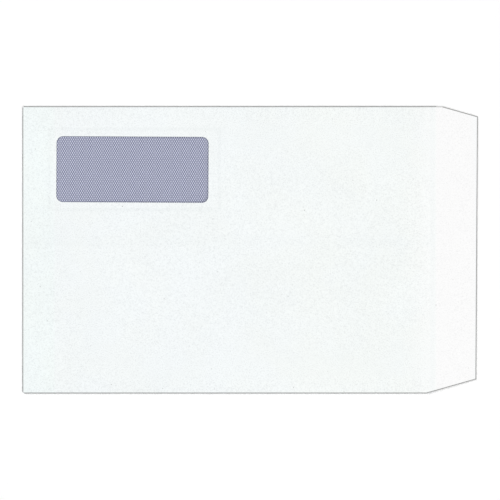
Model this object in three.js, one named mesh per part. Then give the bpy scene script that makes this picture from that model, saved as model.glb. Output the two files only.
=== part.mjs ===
import * as THREE from 'three';

// A window envelope that lies flat, window side up, with its mouth flap open. Millimetres.
// X runs along it from the closed end to the mouth flap, Y runs across it and Z points up.
// Lengths along X are counted from the outside of the closed end.

// Paper, film, glue and ink
const paperThickness = 0.11;
const filmThickness = 0.03;
const glueThickness = 0.03;
const inkThickness = 0.01;
const pocketHeight = 0.4;

// Body
const bodyLength = 233.4;
const bodyWidth = 162;
const foldSegments = 10;
const foldEndRelief = 0.5;

// Mouth flap: a shallow trapezoid, cut a little off centre and a little askew
const mouthFlapDepth = 23.1;
const shoulderInset = 6.85;
const shoulderAngle = THREE.MathUtils.degToRad(15.8);
const flapOffset = 1.1;
const flapSkew = THREE.MathUtils.degToRad(0.35);
const flapTipRadius = 0.5;

// Back: two panels that overlap at a centre seam, and the bottom flap that closes the end
const windowSidePanelEdge = 1.6;
const seamSidePanelEdge = 8.3;
const panelCornerRelief = 0.5;
const bottomFlapDepth = 18;
const bottomFlapTaper = 3;
const bottomFlapCornerRadius = 4;

// Window hole and the film patch behind it
const windowLength = 85.8;
const windowHeight = 37.2;
const windowCornerRadius = 3.7;
const windowFromClosedEnd = 19.2;
const windowFromSide = 17.1;
const windowSkew = THREE.MathUtils.degToRad(0.3);
const filmMarginClosedEnd = 3.9;
const filmMarginMouth = 6.2;
const filmMarginSide = 4.2;
const filmMarginCentre = 4;
const windowGlueMargin = 0.6;

// Glue lines and print stop this far short of the paper's edges
const glueMargin = 0.8;
const printMargin = 0.4;

// Middle heights of the four layers, from the surface that the envelope lies on
const layerStep = paperThickness + glueThickness;
const bottomFlapZ = paperThickness / 2;
const seamSidePanelZ = bottomFlapZ + layerStep;
const windowSidePanelZ = seamSidePanelZ + layerStep;
const frontZ = windowSidePanelZ + paperThickness + pocketHeight;

const envelope = new THREE.Group();

function addPiece(name, geometry, material, position = new THREE.Vector3(), turn = 0) {
  const mesh = new THREE.Mesh(geometry, new THREE.MeshStandardMaterial(material));
  mesh.name = name;
  mesh.position.copy(position);
  mesh.rotation.z = turn;
  envelope.add(mesh);
}

const paperLook = { color: 0xf7f9f8, roughness: 0.85, metalness: 0 };
const tintLook = { color: 0x9a9fb5, roughness: 0.85, metalness: 0 };
const glueLook = { color: 0xf0ede4, roughness: 0.5, metalness: 0 };
const filmLook = { color: 0xf2f5f8, roughness: 0.08, metalness: 0, transparent: true, opacity: 0.3 };

function rectangle(lowX, lowY, highX, highY) {
  return [
    new THREE.Vector2(lowX, lowY),
    new THREE.Vector2(highX, lowY),
    new THREE.Vector2(highX, highY),
    new THREE.Vector2(lowX, highY),
  ];
}

// A closed outline with each corner rounded by its own radius, where 0 keeps it sharp
function roundedOutline(corners, radii, arcSteps = 5) {
  const points = [];
  corners.forEach((corner, i) => {
    const before = corners[(i + corners.length - 1) % corners.length];
    const after = corners[(i + 1) % corners.length];
    const radius = radii[i];
    if (radius === 0) {
      points.push(corner.clone());
      return;
    }
    const toBefore = before.clone().sub(corner).normalize();
    const toAfter = after.clone().sub(corner).normalize();
    const halfAngle = Math.acos(toBefore.dot(toAfter)) / 2;
    const run = radius / Math.tan(halfAngle);
    const start = corner.clone().addScaledVector(toBefore, run);
    const end = corner.clone().addScaledVector(toAfter, run);
    const towardsCentre = toBefore.clone().add(toAfter).normalize();
    const centre = corner.clone().addScaledVector(towardsCentre, radius / Math.sin(halfAngle));
    const startAngle = start.clone().sub(centre).angle();
    const endAngle = end.clone().sub(centre).angle();
    const sweep = Math.atan2(Math.sin(endAngle - startAngle), Math.cos(endAngle - startAngle));
    for (let step = 0; step <= arcSteps; step += 1) {
      const angle = startAngle + (sweep * step) / arcSteps;
      points.push(new THREE.Vector2(Math.cos(angle), Math.sin(angle)).multiplyScalar(radius).add(centre));
    }
  });
  return points;
}

// One sheet of even thickness, given by its middle surface. Flat regions and folds share their
// end points, and the cut edges are walled where a side has no neighbour.
class Sheet {
  constructor(thickness) {
    this.thickness = thickness;
    this.points = [];
    this.normals = [];
    this.triangles = [];
    this.indexByPlace = new Map();
  }

  point(position, normal) {
    const place = position.toArray().map((value) => value.toFixed(5)).join();
    if (!this.indexByPlace.has(place)) {
      this.indexByPlace.set(place, this.points.length);
      this.points.push(position);
      this.normals.push(normal);
    }
    return this.indexByPlace.get(place);
  }

  triangle(a, b, c) {
    const ab = this.points[b].clone().sub(this.points[a]);
    const ac = this.points[c].clone().sub(this.points[a]);
    const outside = this.normals[a].clone().add(this.normals[b]).add(this.normals[c]);
    const facesOut = ab.cross(ac).dot(outside) > 0;
    this.triangles.push(facesOut ? [a, b, c] : [a, c, b]);
  }

  // A flat region at height z, whose outside faces up (1) or down (-1)
  flat(outline, z, facing, holes = []) {
    const places = [outline, ...holes].flat();
    const corners = places.map((place) => {
      const position = new THREE.Vector3(place.x, place.y, z);
      return this.point(position, new THREE.Vector3(0, 0, facing));
    });
    for (const [a, b, c] of THREE.ShapeUtils.triangulateShape(outline, holes)) {
      this.triangle(corners[a], corners[b], corners[c]);
    }
  }

  // A half turn from the front's height down to lowZ, along the line from start to end
  fold(start, end, away, lowZ) {
    const radius = (frontZ - lowZ) / 2;
    const up = new THREE.Vector3(0, 0, 1);
    let previous = null;
    for (let step = 0; step <= foldSegments; step += 1) {
      const angle = (Math.PI * step) / foldSegments;
      const normal = away.clone().multiplyScalar(Math.sin(angle)).addScaledVector(up, Math.cos(angle));
      const row = [start, end].map((place) => {
        const axis = new THREE.Vector3(place.x, place.y, lowZ + radius);
        return this.point(axis.addScaledVector(normal, radius), normal);
      });
      if (previous) {
        this.triangle(previous[0], previous[1], row[0]);
        this.triangle(previous[1], row[1], row[0]);
      }
      previous = row;
    }
  }

  geometry() {
    const count = this.points.length;
    const vertices = [];
    for (const side of [0.5, -0.5]) {
      this.points.forEach((position, i) => {
        vertices.push(...position.clone().addScaledVector(this.normals[i], side * this.thickness));
      });
    }
    const sides = new Set(this.triangles.flatMap(([a, b, c]) => [`${a},${b}`, `${b},${c}`, `${c},${a}`]));
    const faces = [];
    for (const [a, b, c] of this.triangles) {
      faces.push(a, b, c, count + a, count + c, count + b);
      for (const [from, to] of [[a, b], [b, c], [c, a]]) {
        if (!sides.has(`${to},${from}`)) {
          faces.push(to, from, count + from, to, count + from, count + to);
        }
      }
    }
    const geometry = new THREE.BufferGeometry();
    geometry.setAttribute('position', new THREE.Float32BufferAttribute(vertices, 3));
    geometry.setIndex(faces);
    geometry.computeVertexNormals();
    return geometry;
  }
}

// The folded blank: front, mouth flap, two back panels and bottom flap, all one sheet
const outerReach = (lowZ) => (frontZ - lowZ + paperThickness) / 2;
const mouthX = bodyLength;
const tipX = bodyLength + mouthFlapDepth;
const bottomFoldX = outerReach(bottomFlapZ);
const panelStartX = bottomFoldX + foldEndRelief;

// One long side, where side is 1 at +Y and -1 at -Y. The mouth flap's shoulder is cut at an angle
// from the fold line to the tip, and may start before or past the mouth.
function longSide(side, panelZ) {
  const foldY = side * (bodyWidth / 2 - outerReach(panelZ));
  const tipY = side * (bodyWidth / 2 - shoulderInset) + flapOffset;
  const shoulderTipX = tipX + (tipY - flapOffset) * Math.tan(flapSkew);
  const shoulderX = shoulderTipX - Math.abs(foldY - tipY) / Math.tan(shoulderAngle);
  const startsInside = shoulderX < mouthX;
  const mouthInset = startsInside ? (mouthX - shoulderX) * Math.tan(shoulderAngle) : 0;
  const mouthCorner = new THREE.Vector2(mouthX, foldY - side * mouthInset);
  const shoulderStart = new THREE.Vector2(shoulderX, foldY);
  return {
    foldY,
    foldEndX: startsInside ? shoulderX : mouthX,
    frontCorners: startsInside ? [shoulderStart, mouthCorner] : [mouthCorner],
    flapCorners: startsInside ? [mouthCorner] : [mouthCorner, shoulderStart],
    tip: new THREE.Vector2(shoulderTipX, tipY),
    panelCorner: new THREE.Vector2(mouthX, foldY - side * (mouthInset + panelCornerRelief)),
  };
}

const windowSide = longSide(1, windowSidePanelZ);
const seamSide = longSide(-1, seamSidePanelZ);

const windowCentre = new THREE.Vector2(
  windowFromClosedEnd + windowLength / 2,
  bodyWidth / 2 - windowFromSide - windowHeight / 2,
);
const windowCorners = rectangle(-windowLength / 2, -windowHeight / 2, windowLength / 2, windowHeight / 2);
const windowOutline = roundedOutline(windowCorners, windowCorners.map(() => windowCornerRadius));
const windowHole = windowOutline.map((place) => {
  return place.clone().rotateAround(new THREE.Vector2(), -windowSkew).add(windowCentre);
});

const blank = new Sheet(paperThickness);
const bottomFoldEnds = [
  new THREE.Vector2(bottomFoldX, seamSide.foldY + foldEndRelief),
  new THREE.Vector2(bottomFoldX, windowSide.foldY - foldEndRelief),
];

const frontOutline = [
  new THREE.Vector2(panelStartX, seamSide.foldY),
  ...seamSide.frontCorners,
  ...windowSide.frontCorners.toReversed(),
  new THREE.Vector2(panelStartX, windowSide.foldY),
  bottomFoldEnds[1],
  bottomFoldEnds[0],
];
blank.flat(frontOutline, frontZ, 1, [windowHole]);

const mouthFlapCorners = [
  ...seamSide.flapCorners,
  seamSide.tip,
  windowSide.tip,
  ...windowSide.flapCorners.toReversed(),
];
const mouthFlapRadii = mouthFlapCorners.map((corner) => {
  return corner === seamSide.tip || corner === windowSide.tip ? flapTipRadius : 0;
});
blank.flat(roundedOutline(mouthFlapCorners, mouthFlapRadii), frontZ, 1);

function backPanel(side, edgeY, z) {
  const foldStart = new THREE.Vector2(panelStartX, side.foldY);
  const foldEnd = new THREE.Vector2(side.foldEndX, side.foldY);
  const away = new THREE.Vector3(0, Math.sign(side.foldY), 0);
  blank.fold(foldStart, foldEnd, away, z);
  const outline = [
    foldStart,
    foldEnd,
    side.panelCorner,
    new THREE.Vector2(mouthX, edgeY),
    new THREE.Vector2(panelStartX, edgeY),
  ];
  blank.flat(outline, z, -1);
}

backPanel(windowSide, windowSidePanelEdge, windowSidePanelZ);
backPanel(seamSide, seamSidePanelEdge, seamSidePanelZ);

blank.fold(bottomFoldEnds[0], bottomFoldEnds[1], new THREE.Vector3(-1, 0, 0), bottomFlapZ);
const bottomFlapCorners = [
  bottomFoldEnds[0],
  new THREE.Vector2(bottomFlapDepth, bottomFoldEnds[0].y + bottomFlapTaper),
  new THREE.Vector2(bottomFlapDepth, bottomFoldEnds[1].y - bottomFlapTaper),
  bottomFoldEnds[1],
];
const bottomFlapRadii = [0, bottomFlapCornerRadius, bottomFlapCornerRadius, 0];
blank.flat(roundedOutline(bottomFlapCorners, bottomFlapRadii), bottomFlapZ, -1);
addPiece('envelope_paper', blank.geometry(), paperLook);

// A flat plate with an optional hole, from z up by its thickness
function plate(outline, thickness, z, hole) {
  const shape = new THREE.Shape(outline);
  if (hole) {
    shape.holes.push(new THREE.Path(hole));
  }
  const geometry = new THREE.ExtrudeGeometry(shape, { depth: thickness, bevelEnabled: false });
  return geometry.translate(0, 0, z);
}

// Clear film patch, glued under the front round the window hole
const frontUndersideZ = frontZ - paperThickness / 2;
const filmTopZ = frontUndersideZ - glueThickness;
const filmOutline = rectangle(
  -windowLength / 2 - filmMarginClosedEnd,
  -windowHeight / 2 - filmMarginCentre,
  windowLength / 2 + filmMarginMouth,
  windowHeight / 2 + filmMarginSide,
);
const windowPlace = new THREE.Vector3(windowCentre.x, windowCentre.y, 0);
const film = plate(filmOutline, filmThickness, filmTopZ - filmThickness);
addPiece('window_film', film, filmLook, windowPlace, -windowSkew);

// Glue frame between the film patch and the front, clear of the window hole and the film's edge
const glueFrameOutline = rectangle(
  filmOutline[0].x + windowGlueMargin,
  filmOutline[0].y + windowGlueMargin,
  filmOutline[2].x - windowGlueMargin,
  filmOutline[2].y - windowGlueMargin,
);
const glueFrameCorners = rectangle(
  windowCorners[0].x - windowGlueMargin,
  windowCorners[0].y - windowGlueMargin,
  windowCorners[2].x + windowGlueMargin,
  windowCorners[2].y + windowGlueMargin,
);
const glueFrameRadius = windowCornerRadius + windowGlueMargin;
const glueFrameHole = roundedOutline(glueFrameCorners, glueFrameCorners.map(() => glueFrameRadius));
const glueFrame = plate(glueFrameOutline, glueThickness, filmTopZ, glueFrameHole);
addPiece('window_glue', glueFrame, glueLook, windowPlace, -windowSkew);

// Printed tint on the inside of the two back panels. On the seam side it ends at the seam.
function backPanelPrint(lowY, highY, panelZ) {
  const outline = rectangle(
    panelStartX + printMargin,
    lowY + printMargin,
    mouthX - printMargin,
    highY - printMargin,
  );
  return plate(outline, inkThickness, panelZ + paperThickness / 2);
}

const windowSidePrint = backPanelPrint(windowSidePanelEdge, windowSide.panelCorner.y, windowSidePanelZ);
addPiece('inner_tint_window_side', windowSidePrint, tintLook);
const seamSidePrint = backPanelPrint(seamSide.panelCorner.y, windowSidePanelEdge, seamSidePanelZ);
addPiece('inner_tint_seam_side', seamSidePrint, tintLook);

// Glue line of the centre seam, between the overlapping back panels
const seamGlueOutline = rectangle(
  panelStartX + glueMargin,
  windowSidePanelEdge + glueMargin,
  mouthX - glueMargin,
  seamSidePanelEdge - glueMargin,
);
addPiece('seam_glue', plate(seamGlueOutline, glueThickness, seamSidePanelZ + paperThickness / 2), glueLook);

// Glue of the bottom flap. The window side's back panel lies one layer higher, so its glue is deeper.
const bottomFlapTopZ = bottomFlapZ + paperThickness / 2;
function bottomGlue(lowY, highY, panelZ) {
  const outline = rectangle(
    panelStartX + glueMargin,
    lowY + glueMargin,
    bottomFlapDepth - glueMargin,
    highY - glueMargin,
  );
  return plate(outline, panelZ - paperThickness / 2 - bottomFlapTopZ, bottomFlapTopZ);
}

const bottomGlueLowY = bottomFlapCorners[1].y + bottomFlapCornerRadius;
const bottomGlueHighY = bottomFlapCorners[2].y - bottomFlapCornerRadius;
const seamSideBottomGlue = bottomGlue(bottomGlueLowY, seamSidePanelEdge, seamSidePanelZ);
addPiece('bottom_glue_seam_side', seamSideBottomGlue, glueLook);
const windowSideBottomGlue = bottomGlue(seamSidePanelEdge, bottomGlueHighY, windowSidePanelZ);
addPiece('bottom_glue_window_side', windowSideBottomGlue, glueLook);

// The origin is under the middle of the whole envelope
const bounds = new THREE.Box3().setFromObject(envelope);
const middle = bounds.getCenter(new THREE.Vector3());
envelope.position.set(-middle.x, -middle.y, -bounds.min.z);

export default envelope;
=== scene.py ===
import math

import bmesh
import bpy
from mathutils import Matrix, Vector


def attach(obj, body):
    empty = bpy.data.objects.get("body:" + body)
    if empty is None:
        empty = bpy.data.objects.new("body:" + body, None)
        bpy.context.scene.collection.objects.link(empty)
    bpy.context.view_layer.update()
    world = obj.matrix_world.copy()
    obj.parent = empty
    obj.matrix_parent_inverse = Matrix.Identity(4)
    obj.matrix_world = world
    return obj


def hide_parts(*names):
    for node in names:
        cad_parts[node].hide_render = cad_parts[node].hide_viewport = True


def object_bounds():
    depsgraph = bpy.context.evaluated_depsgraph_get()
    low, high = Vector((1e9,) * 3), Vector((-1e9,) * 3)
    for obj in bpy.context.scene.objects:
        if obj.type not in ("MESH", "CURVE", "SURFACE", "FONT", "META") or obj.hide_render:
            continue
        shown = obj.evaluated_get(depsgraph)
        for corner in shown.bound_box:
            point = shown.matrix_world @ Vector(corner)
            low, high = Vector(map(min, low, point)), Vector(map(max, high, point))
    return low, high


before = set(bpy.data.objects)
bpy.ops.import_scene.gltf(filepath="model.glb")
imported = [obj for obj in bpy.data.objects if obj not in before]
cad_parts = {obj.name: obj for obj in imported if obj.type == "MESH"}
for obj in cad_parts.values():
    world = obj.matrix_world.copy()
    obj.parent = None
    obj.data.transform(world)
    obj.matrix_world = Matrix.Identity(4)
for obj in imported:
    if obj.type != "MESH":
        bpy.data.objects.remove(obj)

cad_low, cad_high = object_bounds()

# The envelope itself: one sheet of white 80 gram paper, cut to a blank with its window hole, then
# folded along both long sides and at the closed end. Its inside is printed before it is folded.
# The back panels overlap in a centre seam, and the mouth flap lies open.
MM = 0.001
paper_thickness = 0.11 * MM
glue_thickness = 0.03 * MM
pocket_height = 0.4 * MM
body_length = 233.4 * MM
body_width = 162 * MM
mouth_flap_depth = 23.1 * MM
shoulder_inset = 6.85 * MM
shoulder_angle = math.radians(15.8)
shoulder_slope = math.tan(shoulder_angle)
flap_offset = 1.1 * MM
flap_skew = math.radians(0.35)
flap_tip_radius = 0.5 * MM
window_side_panel_edge = 1.6 * MM
seam_side_panel_edge = 8.3 * MM
panel_corner_relief = 0.5 * MM
fold_end_relief = 0.5 * MM
bottom_flap_depth = 18 * MM
bottom_flap_taper = 3 * MM
bottom_flap_radius = 4 * MM
window_length = 85.8 * MM
window_height = 37.2 * MM
window_radius = 3.7 * MM
window_from_closed_end = 19.2 * MM
window_from_side = 17.1 * MM
window_skew = math.radians(0.3)

layer_step = paper_thickness + glue_thickness
bottom_flap_z = paper_thickness / 2
seam_side_panel_z = bottom_flap_z + layer_step
window_side_panel_z = seam_side_panel_z + layer_step
front_z = window_side_panel_z + paper_thickness + pocket_height

closed_end_x = cad_low.x
mouth_x = closed_end_x + body_length
tip_x = mouth_x + mouth_flap_depth


def fold_radius(layer_z):
    return (front_z - layer_z) / 2


def outer_reach(layer_z):
    return fold_radius(layer_z) + paper_thickness / 2


bottom_fold_x = closed_end_x + outer_reach(bottom_flap_z)
bottom_fold_arc = math.pi * fold_radius(bottom_flap_z)
panel_start_x = bottom_fold_x + fold_end_relief


class LongSide:
    """One long side of the blank: side is 1 at +Y and -1 at -Y."""

    def __init__(self, side, panel_z, panel_edge):
        self.side = side
        self.panel_z = panel_z
        self.panel_edge = panel_edge
        self.radius = fold_radius(panel_z)
        self.arc = math.pi * self.radius
        self.fold_y = side * (body_width / 2 - outer_reach(panel_z))
        self.tip_y = side * (body_width / 2 - shoulder_inset) + flap_offset
        self.tip_x = tip_x + (self.tip_y - flap_offset) * math.tan(flap_skew)
        shoulder_x = self.tip_x - abs(self.fold_y - self.tip_y) / shoulder_slope
        self.fold_end_x = min(shoulder_x, mouth_x)
        self.mouth_inset = max(mouth_x - shoulder_x, 0) * shoulder_slope
        self.corner_y = self.fold_y - side * (self.mouth_inset + panel_corner_relief)
        if shoulder_x < mouth_x:
            self.shoulder = (mouth_x, self.fold_y - side * self.mouth_inset)
        else:
            self.shoulder = (shoulder_x, self.fold_y)

    def panel_v(self, y):
        """Where a back panel's plan y lies on the flat blank."""
        return self.fold_y + self.side * (self.arc + abs(self.fold_y - y))


window_side = LongSide(1, window_side_panel_z, window_side_panel_edge)
seam_side = LongSide(-1, seam_side_panel_z, seam_side_panel_edge)


def rounded(corners, radii, steps=8):
    """A closed outline with each corner rounded by its own radius; 0 keeps a corner sharp."""
    outline = []
    for i, corner in enumerate(corners):
        corner = Vector(corner)
        if radii[i] == 0:
            outline.append(tuple(corner))
            continue
        to_before = (Vector(corners[i - 1]) - corner).normalized()
        to_after = (Vector(corners[(i + 1) % len(corners)]) - corner).normalized()
        half = to_before.angle(to_after) / 2
        centre = corner + (to_before + to_after).normalized() * (radii[i] / math.sin(half))
        start = corner + to_before * (radii[i] / math.tan(half)) - centre
        end = corner + to_after * (radii[i] / math.tan(half)) - centre
        first = math.atan2(start.y, start.x)
        sweep = math.remainder(math.atan2(end.y, end.x) - first, 2 * math.pi)
        for step in range(steps + 1):
            angle = first + sweep * step / steps
            outline.append((centre.x + radii[i] * math.cos(angle), centre.y + radii[i] * math.sin(angle)))
    return outline


window_x = closed_end_x + window_from_closed_end + window_length / 2
window_y = body_width / 2 - window_from_side - window_height / 2


def beside_window(x, y):
    """A place given from the window's centre, turned with the window."""
    c, s = math.cos(-window_skew), math.sin(-window_skew)
    return (window_x + c * x - s * y, window_y + s * x + c * y)


def right_half_hole(half_length, half_height, radius):
    """The +X half of a rounded rectangle about its own centre."""
    corners = [(0, -half_height), (half_length, -half_height), (half_length, half_height), (0, half_height)]
    return rounded(corners, [0, radius, radius, 0])


half_length, half_height = window_length / 2, window_height / 2
window_half = right_half_hole(half_length, half_height, window_radius)
window_right = [beside_window(x, y) for x, y in window_half]
window_left = [beside_window(-x, y) for x, y in window_half]

seam_edge_v = seam_side.panel_v(seam_side.panel_edge)
window_edge_v = window_side.panel_v(window_side.panel_edge)
flap_outline = rounded(
    [
        seam_side.shoulder,
        (seam_side.tip_x, seam_side.tip_y),
        (window_side.tip_x, window_side.tip_y),
        window_side.shoulder,
    ],
    [0, flap_tip_radius, flap_tip_radius, 0],
)
bottom_fold_y = [seam_side.fold_y + fold_end_relief, window_side.fold_y - fold_end_relief]
bottom_flap_u = 2 * bottom_fold_x - bottom_fold_arc - (closed_end_x + bottom_flap_depth)
bottom_flap_outline = rounded(
    [
        (bottom_fold_x, bottom_fold_y[1]),
        (bottom_fold_x - bottom_fold_arc, bottom_fold_y[1]),
        (bottom_flap_u, bottom_fold_y[1] - bottom_flap_taper),
        (bottom_flap_u, bottom_fold_y[0] + bottom_flap_taper),
        (bottom_fold_x - bottom_fold_arc, bottom_fold_y[0]),
        (bottom_fold_x, bottom_fold_y[0]),
    ],
    [0, 0, bottom_flap_radius, bottom_flap_radius, 0, 0],
)
mouth_half = [
    (window_x, seam_edge_v),
    (mouth_x, seam_edge_v),
    (mouth_x, seam_side.panel_v(seam_side.corner_y)),
    (seam_side.fold_end_x, seam_side.fold_y - seam_side.arc),
    (seam_side.fold_end_x, seam_side.fold_y),
    *flap_outline,
    (window_side.fold_end_x, window_side.fold_y),
    (window_side.fold_end_x, window_side.fold_y + window_side.arc),
    (mouth_x, window_side.panel_v(window_side.corner_y)),
    (mouth_x, window_edge_v),
    (window_x, window_edge_v),
    *reversed(window_right),
]
closed_half = [
    (window_x, window_edge_v),
    (panel_start_x, window_edge_v),
    (panel_start_x, window_side.fold_y),
    *bottom_flap_outline,
    (panel_start_x, seam_side.fold_y),
    (panel_start_x, seam_edge_v),
    (window_x, seam_edge_v),
    *window_left,
]

swell = 0.7 * MM
mouth_gape = 0.6 * MM
swell_run = 70 * MM
gape_run = 90 * MM
edge_strip = 0.3 * MM
swell_power = 0.75
cockle_height = 0.05 * MM
cockle_run = 20 * MM
cockle_fade = 1 / 3
tip_clearance = 0.5 * MM
droop_power = 1.15


def ease(t):
    t = min(max(t, 0), 1)
    return t * t * (3 - 2 * t)


def cockle(x, y):
    """Slow waves of paper that has taken up a little damp, 80 to 130 mm from crest to crest."""
    crossing_waves = math.sin(61 * x + 1.1) * math.cos(47 * y - 0.4)
    slanting_waves = math.sin(33 * x - 71 * y)
    return cockle_height * (crossing_waves + 0.6 * slanting_waves)


def belly(x, y):
    """How far the front stands off the back panels, beyond the empty pocket's height."""
    across = max(0, 1 - (y / (body_width / 2 - edge_strip)) ** 2)
    to_mouth = ease((x - mouth_x + gape_run) / gape_run)
    height = ease((x - panel_start_x) / swell_run) * (swell + (mouth_gape - swell) * to_mouth)
    off_edges = ease(across / cockle_fade) * ease((x - panel_start_x) / cockle_run)
    return across ** swell_power * height + cockle(x, y) * off_edges


def front_rise(x, y):
    """The front's rise over its flat height. The mouth flap droops a little from its scored fold."""
    if x <= mouth_x:
        return belly(x, y)
    tip_rise = tip_clearance + paper_thickness / 2 - front_z
    share = (x - mouth_x) / mouth_flap_depth
    return belly(mouth_x, y) * (1 - share) + tip_rise * share ** droop_power


def no_rise(x, y):
    """The folds and the back panels keep their flat height, because they lie on the table."""
    return 0.0


def folded(u, v):
    """Where a place of the flat blank comes to lie, its outward direction and what lifts it."""
    if u < bottom_fold_x:
        turn, radius = bottom_fold_x - u, fold_radius(bottom_flap_z)
        if turn >= bottom_fold_arc:
            flap_x = bottom_fold_x + turn - bottom_fold_arc
            return Vector((flap_x, v, bottom_flap_z)), Vector((0, 0, -1)), no_rise
        angle = turn / radius
        out = Vector((-math.sin(angle), 0, math.cos(angle)))
        return Vector((bottom_fold_x, v, front_z - radius)) + out * radius, out, no_rise
    for side in (window_side, seam_side):
        turn = (v - side.fold_y) * side.side
        if turn >= side.arc:
            panel_y = side.fold_y - side.side * (turn - side.arc)
            return Vector((u, panel_y, side.panel_z)), Vector((0, 0, -1)), no_rise
        if turn > 0:
            angle = turn / side.radius
            out = Vector((0, side.side * math.sin(angle), math.cos(angle)))
            return Vector((u, side.fold_y, front_z - side.radius)) + out * side.radius, out, no_rise
    return Vector((u, v, front_z)), Vector((0, 0, 1)), front_rise


same_place_decimals = 7
snap_distance = 0.002 * MM


def cut_sheet(outlines, cut_u, cut_v):
    """A flat mesh of the outlines, joined where they meet and cut along lines of equal u and v."""
    flat = bmesh.new()
    corners = {}
    for outline in outlines:
        ring = []
        for u, v in outline:
            key = (round(u, same_place_decimals), round(v, same_place_decimals))
            if key not in corners:
                corners[key] = flat.verts.new((u, v, 0))
            ring.append(corners[key])
        flat.faces.new(ring)
    for places, direction in ((cut_u, Vector((1, 0, 0))), (cut_v, Vector((0, 1, 0)))):
        for place in places:
            bmesh.ops.bisect_plane(
                flat,
                geom=flat.verts[:] + flat.edges[:] + flat.faces[:],
                dist=snap_distance,
                plane_co=direction * place,
                plane_no=direction,
            )
    return flat


grid_step = 3 * MM
smooth_up_to = math.radians(50)
# The order of the paper's three materials.
OUTSIDE, INSIDE, CUT_EDGE = range(3)


def spread(low, high):
    """Places from low to high, about a grid step apart."""
    count = max(1, round((high - low) / grid_step))
    return [low + (high - low) * i / count for i in range(count + 1)]


def closed_sheet(name, flat, place_of, thickness):
    """A closed mesh from a flat one: two faces a thickness apart, and walls along the cut edges."""
    flat.verts.index_update()
    count = len(flat.verts)
    outer, inner = [], []
    for corner in flat.verts:
        middle, out, rise = place_of(corner.co.x, corner.co.y)
        for shell, sign in ((outer, 0.5), (inner, -0.5)):
            point = middle + out * (thickness * sign)
            point.z += rise(point.x, point.y)
            shell.append(point)
    faces, kinds = [], []
    for face in flat.faces:
        ring = [corner.index for corner in face.verts]
        faces += [ring, [count + i for i in reversed(ring)]]
        kinds += [OUTSIDE, INSIDE]
        for loop in face.loops:
            if loop.edge.is_boundary:
                a, b = loop.vert.index, loop.link_loop_next.vert.index
                faces.append([b, a, count + a, count + b])
                kinds.append(CUT_EDGE)
    flat.free()
    mesh = bpy.data.meshes.new(name)
    mesh.from_pydata(outer + inner, [], faces)
    mesh.validate()
    mesh.polygons.foreach_set("use_smooth", [True] * len(mesh.polygons))
    mesh.set_sharp_from_angle(angle=smooth_up_to)
    piece = bpy.data.objects.new(name, mesh)
    bpy.context.scene.collection.objects.link(piece)
    return piece, kinds


fold_steps = 8
cut_u = [bottom_fold_x - bottom_fold_arc * step / fold_steps for step in range(fold_steps + 1)]
cut_u += spread(bottom_flap_u, bottom_fold_x - bottom_fold_arc)[1:-1]
cut_u += spread(panel_start_x, mouth_x)[1:] + spread(mouth_x, tip_x)[1:-1]
cut_v = []
for side in (window_side, seam_side):
    cut_v += [side.fold_y + side.side * side.arc * step / fold_steps for step in range(fold_steps + 1)]
cut_v += spread(seam_side.fold_y, window_side.fold_y)[1:-1]
cut_v += spread(seam_edge_v, seam_side.fold_y - seam_side.arc)[1:-1]
cut_v += spread(window_side.fold_y + window_side.arc, window_edge_v)[1:-1]
blank = cut_sheet([mouth_half, closed_half], cut_u, cut_v)
envelope, kinds = closed_sheet("envelope_paper_folded", blank, folded, paper_thickness)


class Value:
    """A number or colour that varies over a surface. Expressions on numbers add Math nodes."""

    def __init__(self, finish, socket):
        self.finish = finish
        self.socket = socket

    def maths(self, operation, *others):
        numbers = dict(enumerate([self, *others]))
        return self.finish.node("ShaderNodeMath", {"operation": operation}, numbers)

    def __add__(self, other):
        return self.maths("ADD", other)

    __radd__ = __add__

    def __sub__(self, other):
        return self.maths("SUBTRACT", other)

    def __rsub__(self, other):
        return self.finish.node("ShaderNodeMath", {"operation": "SUBTRACT"}, {0: other, 1: self})

    def __mul__(self, other):
        return self.maths("MULTIPLY", other)

    __rmul__ = __mul__

    def rise(self, low, high):
        """0 below low and 1 above high, with a smooth step between."""
        settings = {"interpolation_type": "SMOOTHSTEP"}
        inputs = {"Value": self, "From Min": low, "From Max": high}
        return self.finish.node("ShaderNodeMapRange", settings, inputs, "Result")


class Finish:
    """A material, built up from shader nodes."""

    def __init__(self, name):
        self.material = bpy.data.materials.new(name)
        self.material.use_nodes = True
        self.nodes = self.material.node_tree.nodes
        self.links = self.material.node_tree.links
        self.nodes.clear()
        self.place = self.node("ShaderNodeTexCoord", {}, {}, "Object")
        self.x, self.y, self.z = self.parts(self.place)

    def node(self, kind, settings, inputs, output=0):
        """Adds a node with its settings and its sockets' values or links, and gives one output."""
        made = self.nodes.new(kind)
        for name, setting in settings.items():
            setattr(made, name, setting)
        for name, value in inputs.items():
            if isinstance(value, Value):
                self.links.new(value.socket, made.inputs[name])
            else:
                made.inputs[name].default_value = value
        return Value(self, made.outputs[output])

    def parts(self, vector):
        """The x, y and z of a vector, or the red, green and blue of a colour."""
        split = self.node("ShaderNodeSeparateXYZ", {}, {"Vector": vector}).socket.node
        return [Value(self, output) for output in split.outputs]

    def noise(self, per_metre, detail=2.0, roughness=0.5):
        inputs = {"Vector": self.place, "Scale": per_metre, "Detail": detail, "Roughness": roughness}
        return self.node("ShaderNodeTexNoise", {}, inputs)

    def mix(self, factor, first, second, blend="MIX"):
        """Mixes two colours. Inputs 6 and 7 and output 2 are the Mix node's colour sockets."""
        settings = {"data_type": "RGBA", "blend_type": blend}
        return self.node("ShaderNodeMix", settings, {"Factor": factor, 6: first, 7: second}, 2)

    def bump(self, height, distance, strength):
        inputs = {"Height": height, "Distance": distance, "Strength": strength}
        return self.node("ShaderNodeBump", {}, inputs)

    def surface(self, shader):
        output = self.nodes.new("ShaderNodeOutputMaterial")
        self.links.new(shader.socket, output.inputs["Surface"])
        return self.material

    def principled(self, inputs):
        return self.surface(self.node("ShaderNodeBsdfPrincipled", {}, inputs))


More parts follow.
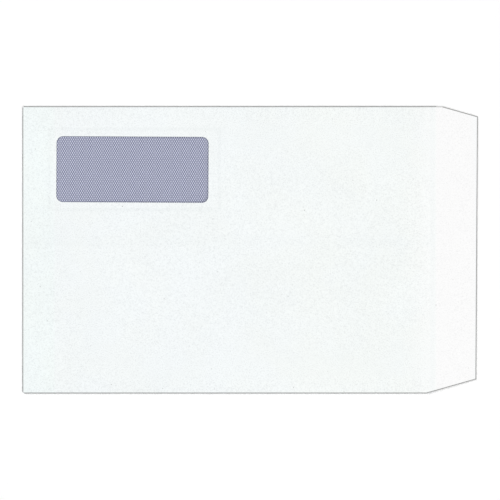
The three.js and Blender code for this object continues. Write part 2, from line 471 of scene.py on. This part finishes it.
def linear(red, green, blue):
    """A colour given as it reads on screen, from 0 to 255, as light."""
    parts = [part / 255 for part in (red, green, blue)]
    light = [p / 12.92 if p <= 0.04045 else ((p + 0.055) / 1.055) ** 2.4 for p in parts]
    return (*light, 1.0)


def between(value, low, high, blur):
    """1 from low to high and 0 beyond, over a soft edge."""
    return value.rise(low - blur, low + blur) * (1 - value.rise(high - blur, high + blur))


def inside_box(finish, low_x, high_x, low_y, high_y, blur):
    """1 inside a rectangle, 0 outside, over a soft edge."""
    return between(finish.x, low_x, high_x, blur) * between(finish.y, low_y, high_y, blur)


def paper_grain(finish):
    """Cloudy formation and fine fibre of wood-free paper, as a height from about 0 to 1."""
    formation_share = 0.35
    formation = finish.noise(260, detail=3, roughness=0.55)
    fibre = finish.noise(1400, detail=4, roughness=0.6)
    return formation * formation_share + fibre * (1 - formation_share)


flock_share = 0.12
fibre_shade = (0.8, 0.8, 0.808, 1)
specks_per_metre = 28
speck_radius = 0.32 * MM
speck_core = 0.4
faintest_speck = 0.3
speck_brown = linear(128, 127, 121)


def mottled(finish, colour, depth):
    """Paper is never quite even: flocks of fibre, the fibres themselves, and now and then a speck."""
    flocks = finish.noise(420).rise(0.4, 0.8)
    fibres = finish.noise(1650, roughness=0.65).rise(0.4, 0.8)
    uneven = (flocks * flock_share + fibres * (1 - flock_share)) * depth
    colour = finish.mix(uneven, colour, fibre_shade, "MULTIPLY")
    cells = {"Vector": finish.place, "Scale": specks_per_metre}
    from_speck = finish.node("ShaderNodeTexVoronoi", {"voronoi_dimensions": "2D"}, cells, "Distance")
    radius = speck_radius * specks_per_metre
    speck = 1 - from_speck.rise(speck_core * radius, radius)
    chance = finish.parts(Value(finish, from_speck.socket.node.outputs["Color"]))[0]
    strength = chance * chance * (1 - faintest_speck) + faintest_speck
    return finish.mix(speck * strength, colour, speck_brown)


# Width of the painted shade line just inside the outline's folds and cut edges.
painted_edge_shade_width = 0.7 * MM


def painted_edge_shade_line(finish):
    """Painted shade: 1 along a narrow line just inside the folds and cut edges of the outline, 0 beside it.
    It stands in for the shade of the turning folds and the shadow round the outline.
    """
    nearest = (finish.x - closed_end_x).maths("MINIMUM", body_width / 2 - finish.y.maths("ABSOLUTE"))
    for side in (window_side, seam_side):
        past_x = (side.tip_x - finish.x) * math.sin(shoulder_angle)
        past_y = (side.tip_y - finish.y) * (side.side * math.cos(shoulder_angle))
        nearest = nearest.maths("MINIMUM", past_x + past_y)
    tip_line = (finish.y - flap_offset) * math.tan(flap_skew) + tip_x
    nearest = nearest.maths("MINIMUM", tip_line - finish.x)
    darkest = 0.3 * painted_edge_shade_width
    return nearest.rise(-0.1 * painted_edge_shade_width, darkest) * (1 - nearest.rise(darkest, painted_edge_shade_width))


# The film patch reaches this far past the window hole on each side, and its edge shows through.
film_past_closed_end = 3.9 * MM
film_past_mouth_end = 6.2 * MM
film_past_side = 4.2 * MM
film_past_centre = 4 * MM


def film_edge_line(finish, half_width=0.9 * MM, blur=0.6 * MM):
    """1 along the edge of the film patch behind the front, 0 beside it."""
    outer, inner = [
        inside_box(
            finish,
            window_x - half_length - film_past_closed_end - reach,
            window_x + half_length + film_past_mouth_end + reach,
            window_y - half_height - film_past_centre - reach,
            window_y + half_height + film_past_side + reach,
            blur,
        )
        for reach in (half_width, -half_width)
    ]
    return outer * (1 - inner)


def outside_paper():
    """White paper whose layers and inner print show faintly through it. Its outline and a band just before
    the mouth carry painted shade.
    """
    flap_white = linear(252.3, 252.1, 252)
    near_mouth = linear(251.3, 253.2, 252.4)
    over_mouth_half = linear(248.5, 252.3, 251.4)
    over_closed_half = linear(247.4, 251.6, 252.5)
    over_bottom_flap = linear(246.6, 253.1, 252.9)
    back_white = linear(249, 252.6, 254)
    shade = linear(238, 243, 244)
    warmth = (1, 0.997, 0.987, 1)
    # Painted shade: the grey of the line along the folds and cut edges.
    painted_edge_shade_grey = linear(112, 112, 110)
    film_line_share, painted_mouth_shade_share, seam_share, cloud_share = 0.34, 0.2, 0.1, 0.2
    mouth_blur, bottom_flap_blur, seam_blur, painted_mouth_shade_blur = 0.6 * MM, 1.2 * MM, 1.2 * MM, 0.7 * MM
    halves_from_x, halves_to_x = -40 * MM, 60 * MM
    mouth_light_depth = 22 * MM
    # Painted shadow: a faint darker band just before the mouth stands in for the shadow of the back panels'
    # mouth edge, seen through the front.
    painted_mouth_shade_starts_before, painted_mouth_shade_ends_before = 3.5 * MM, 0.6 * MM
    body_fade = 12 * MM
    flap_mottle, body_mottle = 0.64, 0.98
    finish = Finish("white_paper_outside")
    colour = finish.mix(finish.x.rise(halves_from_x, halves_to_x), over_closed_half, over_mouth_half)
    colour = finish.mix(finish.x.rise(mouth_x - mouth_light_depth, mouth_x), colour, near_mouth)
    colour = finish.mix(finish.x.rise(mouth_x - mouth_blur, mouth_x + mouth_blur), colour, flap_white)
    flap_end_x = closed_end_x + bottom_flap_depth
    past_bottom_flap = finish.x.rise(flap_end_x - bottom_flap_blur, flap_end_x + bottom_flap_blur)
    colour = finish.mix(past_bottom_flap, over_bottom_flap, colour)
    seam_y = (window_side_panel_edge, seam_side_panel_edge)
    seam = inside_box(finish, closed_end_x, mouth_x, *seam_y, seam_blur)
    # Painted shadow of the back panels' mouth edge, as a faint darker band before the mouth.
    painted_mouth_shade = between(finish.x, mouth_x - painted_mouth_shade_starts_before, mouth_x - painted_mouth_shade_ends_before, painted_mouth_shade_blur)
    over_body = 1 - finish.x.rise(mouth_x - body_fade, mouth_x)
    clouds = finish.noise(21, detail=3).rise(0.35, 0.7) * over_body
    # Tones that show through the paper, together with the painted shadow before the mouth.
    shown = film_edge_line(finish) * film_line_share + painted_mouth_shade * painted_mouth_shade_share
    shown = shown + seam * seam_share + clouds * cloud_share
    colour = finish.mix(shown, colour, shade)
    warm = finish.noise(38).rise(0.35, 0.65) * over_body
    colour = finish.mix(warm, colour, warmth, "MULTIPLY")
    on_front = finish.z.rise(window_side_panel_z + paper_thickness, front_z - paper_thickness)
    colour = finish.mix(on_front, back_white, colour)
    colour = mottled(finish, colour, over_body * (body_mottle - flap_mottle) + flap_mottle)
    return finish.principled({
        # Painted shade: the folds and cut edges of the outline are darkened in the colour.
        "Base Color": finish.mix(painted_edge_shade_line(finish), colour, painted_edge_shade_grey),
        "Roughness": 0.8 + finish.noise(700) * 0.12,
        "Specular IOR Level": 0.3,
        "Normal": finish.bump(paper_grain(finish), distance=0.035 * MM, strength=0.6),
    })


print_margin = 0.4 * MM
print_pitch_x = 1.2769 * MM
print_pitch_y = 2.146 * MM
opening_width = 0.7 * MM
opening_length = 1.09 * MM
print_softness = 0.14 * MM
print_ink = linear(113, 115, 147)
between_ink = linear(225, 227, 239)


def wrapped(value, pitch, shift):
    """Distance from the nearest of a row of lines a pitch apart."""
    turns = value * (1 / pitch) + shift
    return (turns - (turns + 0.5).maths("FLOOR")) * pitch


def printed_net(finish):
    """A fine net of ink with oval paper openings, staggered row by row."""
    distances = []
    for shift in (0.0, 0.5):
        across = wrapped(finish.x, print_pitch_x, shift)
        along = wrapped(finish.y, print_pitch_y, shift) * (opening_width / opening_length)
        distances.append((across * across + along * along).maths("SQRT"))
    nearest = distances[0].maths("MINIMUM", distances[1])
    cover = nearest.rise(opening_width / 2 - print_softness, opening_width / 2 + print_softness)
    return finish.mix(cover, between_ink, print_ink)


def inside_paper():
    """The inside: white paper, printed all over with the tint almost as far as the mouth."""
    inside_white = linear(250, 250, 249)
    print_blur = 0.1 * MM
    print_end_x = mouth_x - print_margin
    finish = Finish("white_paper_inside")
    past_print = finish.x.rise(print_end_x - print_blur, print_end_x + print_blur)
    return finish.principled({
        "Base Color": finish.mix(past_print, printed_net(finish), inside_white),
        "Roughness": 0.82 + finish.noise(700) * 0.1,
        "Specular IOR Level": 0.3,
        "Normal": finish.bump(paper_grain(finish), distance=0.02 * MM, strength=0.6),
    })


def cut_edge():
    """The paper's cut edge: rougher and a little greyer than its faces."""
    fibre_light, fibre_dark = linear(232, 233, 232), linear(214, 216, 216)
    finish = Finish("paper_cut_edge")
    fibre = finish.noise(2600, detail=3, roughness=0.6).rise(0.3, 0.7)
    return finish.principled({
        "Base Color": finish.mix(fibre, fibre_light, fibre_dark),
        "Roughness": 0.9,
        "Specular IOR Level": 0.2,
        "Normal": finish.bump(finish.noise(3000), distance=0.02 * MM, strength=0.6),
    })


def fit(piece, node, slot, *materials):
    """Gives a finished piece its materials and its place in the frame; the slot is not used."""
    for material in materials:
        piece.data.materials.append(material)
    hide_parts(node)
    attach(piece, "root")


envelope.data.polygons.foreach_set("material_index", kinds)
fit(envelope, "envelope_paper", "paper", outside_paper(), inside_paper(), cut_edge())


# The tint on the inside of the two back panels: one flat ink, printed as a fine staggered net so
# that nothing can be read through the paper. It shows through the window and makes it grey-violet.
ink_thickness = 0.01 * MM


def rectangle(low_x, high_x, low_y, high_y):
    """A flat mesh of a rectangle, cut into a grid."""
    outline = [(low_x, low_y), (high_x, low_y), (high_x, high_y), (low_x, high_y)]
    return cut_sheet([outline], spread(low_x, high_x)[1:-1], spread(low_y, high_y)[1:-1])


def plate(name, flat, low_z, high_z):
    """A thin flat layer between two heights."""
    def level(x, y):
        return Vector((x, y, (low_z + high_z) / 2)), Vector((0, 0, 1)), no_rise

    return closed_sheet(name, flat, level, high_z - low_z)[0]


def tint_ink():
    """The printed ink, a little worn where the panels rub."""
    worn_ink = linear(200, 204, 222)
    most_wear = 0.12
    finish = Finish("printed_tint")
    wear = finish.noise(900, detail=3, roughness=0.6).rise(0.3, 0.8) * most_wear
    return finish.principled({
        "Base Color": finish.mix(wear, printed_net(finish), worn_ink),
        "Roughness": 0.75,
        "Specular IOR Level": 0.3,
        "Normal": finish.bump(paper_grain(finish), distance=0.02 * MM, strength=0.5),
    })


tint = tint_ink()
for word, side in (("window_side", window_side), ("seam_side", seam_side)):
    low_y, high_y = sorted((window_side_panel_edge, side.corner_y))
    flat = rectangle(
        panel_start_x + print_margin,
        mouth_x - print_margin,
        low_y + print_margin,
        high_y - print_margin,
    )
    face_z = side.panel_z + paper_thickness / 2
    print_layer = plate(f"printed_tint_{word}", flat, face_z, face_z + ink_thickness)
    fit(print_layer, f"inner_tint_{word}", "tint", tint)


# The window: a patch of clear 30 micron plastic film, glued to the inside of the front round the
# hole. It is cut from a roll, so it keeps faint ripples.
film_thickness = 0.03 * MM
film_top_z = front_z - paper_thickness / 2 - glue_thickness
film_low_x, film_high_x = -half_length - film_past_closed_end, half_length + film_past_mouth_end
film_low_y, film_high_y = -half_height - film_past_centre, half_height + film_past_side


def under_front(name, flat, low_z, high_z):
    """A thin layer that is turned with the window and follows the front's rise."""
    def beside(x, y):
        return Vector((*beside_window(x, y), (low_z + high_z) / 2)), Vector((0, 0, 1)), front_rise

    return closed_sheet(name, flat, beside, high_z - low_z)[0]


def clear_film():
    """Clear film: it lets nearly all light through, and mirrors more of it the flatter one looks."""
    seen_through = (0.97, 0.975, 0.985, 1)
    mirrored = linear(250, 251, 252)
    mirror_head_on, mirror_added_edge_on, mirror_power = 0.03, 0.7, 5
    slow_share = 0.85
    finish = Finish("clear_film")
    ripples = finish.noise(38, roughness=0.4) * slow_share + finish.noise(130) * (1 - slow_share)
    normal = finish.bump(ripples, distance=0.6 * MM, strength=0.6)
    roughness = 0.1 + finish.noise(90) * 0.03
    shine = {"Base Color": mirrored, "Metallic": 1.0, "Roughness": roughness, "Normal": normal}
    gloss = finish.node("ShaderNodeBsdfPrincipled", {}, shine)
    clear = finish.node("ShaderNodeBsdfTransparent", {}, {"Color": seen_through})
    edge_on = finish.node("ShaderNodeLayerWeight", {}, {"Blend": 0.5, "Normal": normal}, "Facing")
    mirror = edge_on.maths("POWER", mirror_power) * mirror_added_edge_on + mirror_head_on
    return finish.surface(finish.node("ShaderNodeMixShader", {}, {0: mirror, 1: clear, 2: gloss}))


flat = rectangle(film_low_x, film_high_x, film_low_y, film_high_y)
film = under_front("window_film_patch", flat, film_top_z - film_thickness, film_top_z)
fit(film, "window_film", "film", clear_film())


# The window's glue: a thin frame of water-based glue, rolled on round the hole before the film is
# laid on it. It stops just short of the hole and of the film's edge, so that nothing sticks out.
glue_margin = 0.6 * MM


def glue_finish():
    """Dried glue, ivory and a little patchy."""
    ivory, dark_ivory = linear(240, 237, 228), linear(226, 222, 210)
    finish = Finish("dried_glue")
    patches = finish.noise(300, detail=3, roughness=0.6).rise(0.3, 0.7)
    return finish.principled({
        "Base Color": finish.mix(patches, ivory, dark_ivory),
        "Roughness": 0.5,
        "Normal": finish.bump(finish.noise(500), distance=0.01 * MM, strength=0.5),
    })


dried_glue = glue_finish()
hole_right = right_half_hole(
    half_length + glue_margin,
    half_height + glue_margin,
    window_radius + glue_margin,
)
hole_left = [(-x, y) for x, y in hole_right]
low_x, high_x = film_low_x + glue_margin, film_high_x - glue_margin
low_y, high_y = film_low_y + glue_margin, film_high_y - glue_margin
right_half = [(0, low_y), (high_x, low_y), (high_x, high_y), (0, high_y), *reversed(hole_right)]
left_half = [(0, high_y), (low_x, high_y), (low_x, low_y), (0, low_y), *hole_left]
flat = cut_sheet([right_half, left_half], spread(low_x, high_x)[1:-1], spread(low_y, high_y)[1:-1])
glue_frame = under_front("window_glue_frame", flat, film_top_z, film_top_z + glue_thickness)
fit(glue_frame, "window_glue", "glue", dried_glue)


# The seam's glue: one dried line down the centre, between the two back panels where they overlap.
# It makes the folded sheet a tube, and shows only at the cut edges.
line_margin = 0.8 * MM
line_start_x = panel_start_x + line_margin
seam_face_z = seam_side_panel_z + paper_thickness / 2
flat = rectangle(
    line_start_x,
    mouth_x - line_margin,
    window_side_panel_edge + line_margin,
    seam_side_panel_edge - line_margin,
)
seam_line = plate("seam_glue_line", flat, seam_face_z, seam_face_z + glue_thickness)
fit(seam_line, "seam_glue", "glue", dried_glue)


# The bottom flap's glue: the flap is gummed all over and pressed onto both back panels, which lie
# at two heights. The dried glue is one layer under each panel.
line_end_x = closed_end_x + bottom_flap_depth - line_margin
bottom_face_z = bottom_flap_z + paper_thickness / 2
flap_corner = bottom_flap_taper + bottom_flap_radius
for word, low_y, high_y, panel_z in (
    ("seam_side", bottom_fold_y[0] + flap_corner, seam_side_panel_edge, seam_side_panel_z),
    ("window_side", seam_side_panel_edge, bottom_fold_y[1] - flap_corner, window_side_panel_z),
):
    flat = rectangle(line_start_x, line_end_x, low_y + line_margin, high_y - line_margin)
    flap_line = plate(f"bottom_flap_glue_{word}", flat, bottom_face_z, panel_z - paper_thickness / 2)
    fit(flap_line, f"bottom_glue_{word}", "glue", dried_glue)


# The table: a plain white sheet that the envelope lies on.
table_size = 6
table_drop = 0.02 * MM
table_white, table_faint_grey = linear(255, 255, 255), linear(254.6, 254.6, 254.6)
bpy.ops.mesh.primitive_plane_add(size=table_size, location=(0, 0, -table_drop))
table = bpy.context.object
table.name = "table"
finish = Finish("white_table")
table.data.materials.append(finish.principled({
    "Base Color": finish.mix(finish.noise(3), table_white, table_faint_grey),
    "Roughness": 0.9,
    "Specular IOR Level": 0.1,
}))

# Light: an even white room, and two large soft lamps on opposite sides as on a copying stand.
room_strength = 0.2
world = bpy.data.worlds.new("room")
world.use_nodes = True
background = world.node_tree.nodes["Background"]
background.inputs["Color"].default_value = (1, 1, 1, 1)
background.inputs["Strength"].default_value = room_strength
bpy.context.scene.world = world

lamp_height = 1.73
lamp_reach = 0.96
lamp_size = 1.5
lamp_power = 28.6
for name, toward_x, toward_y in (("softbox_closed_end", -1, 1), ("softbox_mouth_end", 1, -1)):
    lamp_data = bpy.data.lights.new(name, "AREA")
    lamp_data.shape = "SQUARE"
    lamp_data.size = lamp_size
    lamp_data.energy = lamp_power
    lamp = bpy.data.objects.new(name, lamp_data)
    lamp.location = (toward_x * lamp_reach, toward_y * lamp_reach, lamp_height)
    lamp.rotation_euler = (-lamp.location).to_track_quat("-Z", "Y").to_euler()
    bpy.context.scene.collection.objects.link(lamp)

# The camera looks straight down, from so far off that the envelope's height hardly shows.
image_width_pixels = 500
body_width_pixels = 287.1
pixel = body_width / body_width_pixels
aim_x, aim_y = -0.15 * pixel, -0.17 * pixel
camera_data = bpy.data.cameras.new("camera")
camera_data.lens = 300
camera_data.sensor_width = 36
camera_data.clip_start = 0.1
camera_data.clip_end = 20
camera = bpy.data.objects.new("camera", camera_data)
distance = image_width_pixels * pixel * camera_data.lens / camera_data.sensor_width
camera.location = (aim_x, aim_y, distance)
bpy.context.scene.collection.objects.link(camera)
bpy.context.scene.camera = camera
bpy.context.scene.view_settings.view_transform = "Standard"
